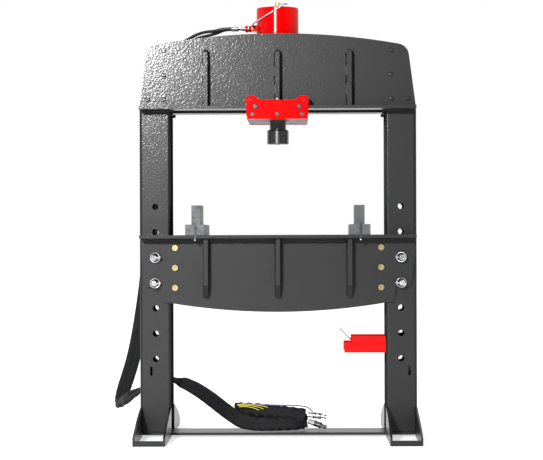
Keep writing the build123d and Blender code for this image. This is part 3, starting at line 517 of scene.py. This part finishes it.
# ---------------------------------------------------------------- cable
CABLE = metres([
    (-196, -50, 146), (-165, -70, 153), (-112, -84, 153), (-48, -88, 151), (16, -84, 149),
    (78, -72, 146), (124, -60, 142), (150, -52, 130), (164, -52, 114),
])
CABLE_D = 0.006
line = even(spline_points("cable_line", CABLE), 0.003)
cable = tube_mesh("cable", line, CABLE_D / 2, MATERIALS["cable_plastic"], 16)
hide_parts("control_cable")
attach(cable, "frame")


# ---------------------------------------------------------------- welds
def weld(start, end, way_a, way_b, size, pitch=0.005):
    """The rings of a rippled fillet bead between two faces that meet along start to end."""
    start, end, a, b = Vector(start), Vector(end), Vector(way_a), Vector(way_b)
    length = (end - start).length
    count = max(4, round(length / pitch * 3))
    rings = []
    for k in range(count + 1):
        t = k / count
        wave = 0.86 + 0.14 * abs(sin(pi * t * length / pitch)) + 0.06 * sin(t * length * 130)
        if k in (0, count):
            wave *= 0.6
        s = size * wave
        base = start.lerp(end, t) - a * 0.0003 - b * 0.0003
        ring = [base]
        for j in range(5):
            angle = pi / 2 * j / 4
            bulge = 1 - 0.18 * sin(2 * angle)
            ring.append(base + (a * cos(angle) + b * sin(angle)) * s * bulge)
        rings.append(ring)
    return rings


def weld_group(name, rows, body="frame"):
    verts, faces = [], []
    for row in rows:
        v, f = join_rings(weld(*row))
        faces += [tuple(i + len(verts) for i in face) for face in f]
        verts += v
    obj = new_mesh(name, verts, faces, MATERIALS["frame_paint"])
    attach(obj, body)


PLATE_Y = 0.125
BEAM_Z = 1.567
FLANGE_Z = BEAM_Z + 0.015
RIB_XS = (-0.343, 0.0, 0.343)
TABLE_Z = 0.968
STRIP_Z = TABLE_Z - 0.015
rows = []
for y in (-1, 1):
    out = (0, y, 0)
    rows.append(((-0.66, y * PLATE_Y, FLANGE_Z), (0.66, y * PLATE_Y, FLANGE_Z), out, (0, 0, 1), 0.008))
weld_group("beam_seams", rows)
rows = []
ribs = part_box("beam_ribs")
STITCHES = ((0.004, 0.060), (0.105, 0.150), (0.195, 0.262))
for x in RIB_XS:
    for side in (-1, 1):
        for y in (-1, 1):
            for low, high in STITCHES:
                start = (x + side * 0.010, y * PLATE_Y, FLANGE_Z + low)
                end = (x + side * 0.010, y * PLATE_Y, min(FLANGE_Z + high, ribs[1].z))
                rows.append((start, end, (side, 0, 0), (0, y, 0), 0.008))
weld_group("beam_rib_seams", rows)
rows = []
for x in RIB_XS:
    for side in (-1, 1):
        for y in (-1, 1):
            edge = x + side * 0.010
            rows.append(((edge, y * PLATE_Y, STRIP_Z - 0.283), (edge, y * PLATE_Y, STRIP_Z - 0.002),
                         (side, 0, 0), (0, y, 0), 0.007))
            rows.append(((edge, y * (PLATE_Y + 0.003), STRIP_Z), (edge, y * (PLATE_Y + 0.076), STRIP_Z),
                         (side, 0, 0), (0, 0, -1), 0.006))
for y in (-1, 1):
    rows.append(((-0.65, y * PLATE_Y, STRIP_Z), (0.65, y * PLATE_Y, STRIP_Z), (0, y, 0), (0, 0, -1), 0.007))
weld_group("table_seams", rows)
rows = []
for side in (-1, 1):
    for y in (-1, 1):
        start, end = (side * 0.530, y * 0.105, 0.020), (side * 0.650, y * 0.105, 0.020)
        rows.append((start, end, (0, y, 0), (0, 0, 1), 0.006))
weld_group("base_seams", rows)


# ---------------------------------------------------------------- turned details
def turned(place, way, profile, around=32):
    """The rings of a turned piece: profile is (radius, distance along the way) pairs."""
    place, way = Vector(place), Vector(way).normalized()
    side = way.orthogonal().normalized()
    up = way.cross(side)
    rings = []
    for radius, along in profile:
        turn = [2 * pi * k / around for k in range(around)]
        rings.append([place + way * along + (side * cos(a) + up * sin(a)) * max(radius, 0.00005) for a in turn])
    return rings


def turned_group(name, rows, material, body):
    verts, faces = [], []
    for row in rows:
        v, f = join_rings(turned(*row))
        faces += [tuple(i + len(verts) for i in face) for face in f]
        verts += v
    obj = new_mesh(name, verts, faces, material)
    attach(obj, body)
    return obj


# A ball on each locator's lower end.
BALL = [(0.0042 * sin(pi * k / 12), 0.0042 * (1 - cos(pi * k / 12))) for k in range(13)]
for side, body in ((-1, "press_block_left"), (1, "press_block_right")):
    rows = [((side * 0.392, y * 0.2355, 0.9445), (0, y, 0), BALL) for y in (-1, 1)]
    turned_group(body + "_catches", rows, DETAIL["bright_steel"], body)

# Rings round the carriage's screws, and dark discs on its axles' ends: painted shade standing in for the axles'
# socket recesses.
FACE = 0.247
SOCKET_SHADE = [(0.0052, 0), (0.0052, 0.0009), (0.0001, 0.0011)]
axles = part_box("roller_axles")
rows, socket_shades = [], []
for x in (-0.1265, 0.1265):
    for y in (-1, 1):
        socket_shades.append(((x, y * (axles[1].y - 0.0005), 1.6063), (0, y, 0), SOCKET_SHADE))
turned_group("axle_socket_shades", socket_shades, DETAIL["dark_steel"], "carriage")
RIM = [(0.0112, -0.0004), (0.0112, 0.0010), (0.0106, 0.0014), (0.0078, 0.0014), (0.0078, -0.0004)]
for x, z in ((-0.1265, 1.6063), (0.1265, 1.6063), (-0.104, 1.5745), (0.104, 1.5745)):
    rows += [((x, y * FACE, z), (0, y, 0), RIM) for y in (-1, 1)]
turned_group("carriage_rims", rows, DETAIL["dark_steel"], "carriage")

# Crimped grooves and grips on the hoses' ends.
CRIMP = [(0.0097, 0), (0.0104, 0.0008), (0.0104, 0.0028), (0.0097, 0.0036)]
ADAPTER_RING = [(0.0132, 0), (0.0140, 0.0015), (0.0140, 0.0065), (0.0132, 0.008)]
PORT_WAYS = [(y, PORT_Z * MM) for y in (-PORT_Y * MM, PORT_Y * MM)]
rows = [((-0.1925 - 0.0052 * k, y, z), (-1, 0, 0), CRIMP) for k in range(6) for y, z in PORT_WAYS]
turned_group("ferrule_crimps", rows, DETAIL["bright_steel"], "carriage")
rows = [((-0.1285 - 0.008, y, z), (-1, 0, 0), ADAPTER_RING) for y, z in PORT_WAYS]
turned_group("adapter_rings", rows, DETAIL["bright_steel"], "carriage")
GRIP = [(0.0142, 0), (0.0151, 0.0010), (0.0151, 0.0036), (0.0142, 0.0046)]
NOSE_RING = [(0.0094, 0), (0.0108, 0.0012), (0.0108, 0.0034), (0.0094, 0.0046)]
COUPLINGS = (((0.140, -0.050, 0.101), (1, -0.1, -0.12)), ((0.144, -0.040, 0.068), (1, 0.1, -0.36)))
rows = []
for start, way in COUPLINGS:
    aim = Vector(way).normalized()
    for at in (0.0275, 0.0345, 0.0545, 0.0615):
        rows.append((Vector(start) + aim * at, aim, GRIP))
    rows.append((Vector(start) + aim * 0.0845, aim, NOSE_RING))
turned_group("coupling_grips", rows, DETAIL["dark_steel"], "frame")

# Small hexagon-headed stops at the columns' inner corners, under the beam.
STOP = [(0.0085, -0.004), (0.0085, 0.007), (0.0070, 0.0095), (0.0001, 0.0098)]
rows = []
for side in (-1, 1):
    for y in (-1, 1):
        rows.append(((side * 0.512, y * 0.090, 1.551), (-side, 0, 0), STOP, 6))
turned_group("corner_stops", rows, MATERIALS["frame_paint"], "frame")

# Loose tie wires on top of the folded sleeve.
WIRES = [
    [(-196, -88, 148), (-176, -94, 152), (-150, -96, 150), (-120, -96, 146), (-94, -96, 141), (-74, -97, 133)],
    [(-190, -90, 142), (-166, -96, 146), (-140, -98, 142), (-114, -98, 136), (-96, -98, 127)],
    [(-200, -86, 152), (-172, -90, 157), (-142, -92, 155), (-110, -92, 151), (-80, -93, 147), (-52, -95, 140)],
]
for k, wire in enumerate(WIRES):
    line = even(spline_points("wire_line", metres(wire)), 0.003)
    obj = tube_mesh(f"tie_wire_{k}", line, 0.0014, DETAIL["wire_yellow"], 10)
    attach(obj, "frame")


# ---------------------------------------------------------------- stage and light
def lamp(name, place, target, power, width, height, color=(1, 1, 1)):
    data = bpy.data.lights.new(name, "AREA")
    data.shape = "RECTANGLE"
    data.size = width
    data.size_y = height
    data.energy = power
    data.color = color
    obj = bpy.data.objects.new(name, data)
    scene.collection.objects.link(obj)
    obj.location = place
    obj.rotation_euler = (Vector(target) - Vector(place)).to_track_quat("-Z", "Y").to_euler()


lamp("key", (-1.85, -9.0, 3.1), (0, 0, 1.0), 900, 0.5, 0.5)

floor_data = bpy.data.meshes.new("floor")
half = 30.0
corners = [(-half, -half, 0), (half, -half, 0), (half, half, 0), (-half, half, 0)]
floor_data.from_pydata(corners, [], [(0, 1, 2, 3)])
floor = bpy.data.objects.new("floor", floor_data)
scene.collection.objects.link(floor)
floor_look = Nodes("floor")
pale = floor_look.mix(floor_look.noise(0.8, 3.0), (0.88, 0.88, 0.885), (0.91, 0.91, 0.91))
floor_look.set(Base_Color=pale, Roughness=0.7, Emission_Color=(1.0, 1.0, 1.0), Emission_Strength=0.55)
dress(floor, floor_look.material)

world = bpy.data.worlds.new("world")
scene.world = world
world.use_nodes = True
tree = world.node_tree
sky = tree.nodes["Background"]
way = tree.nodes.new("ShaderNodeTexCoord")
split = tree.nodes.new("ShaderNodeSeparateXYZ")
tree.links.new(way.outputs["Generated"], split.inputs["Vector"])
ramp = tree.nodes.new("ShaderNodeMapRange")
ramp.inputs["From Min"].default_value = -0.75
ramp.inputs["From Max"].default_value = 0.0
ramp.inputs["To Min"].default_value = 0.06
ramp.inputs["To Max"].default_value = 1.0
tree.links.new(split.outputs["Y"], ramp.inputs["Value"])
tree.links.new(ramp.outputs["Result"], sky.inputs["Color"])
sky.inputs["Strength"].default_value = 1.0
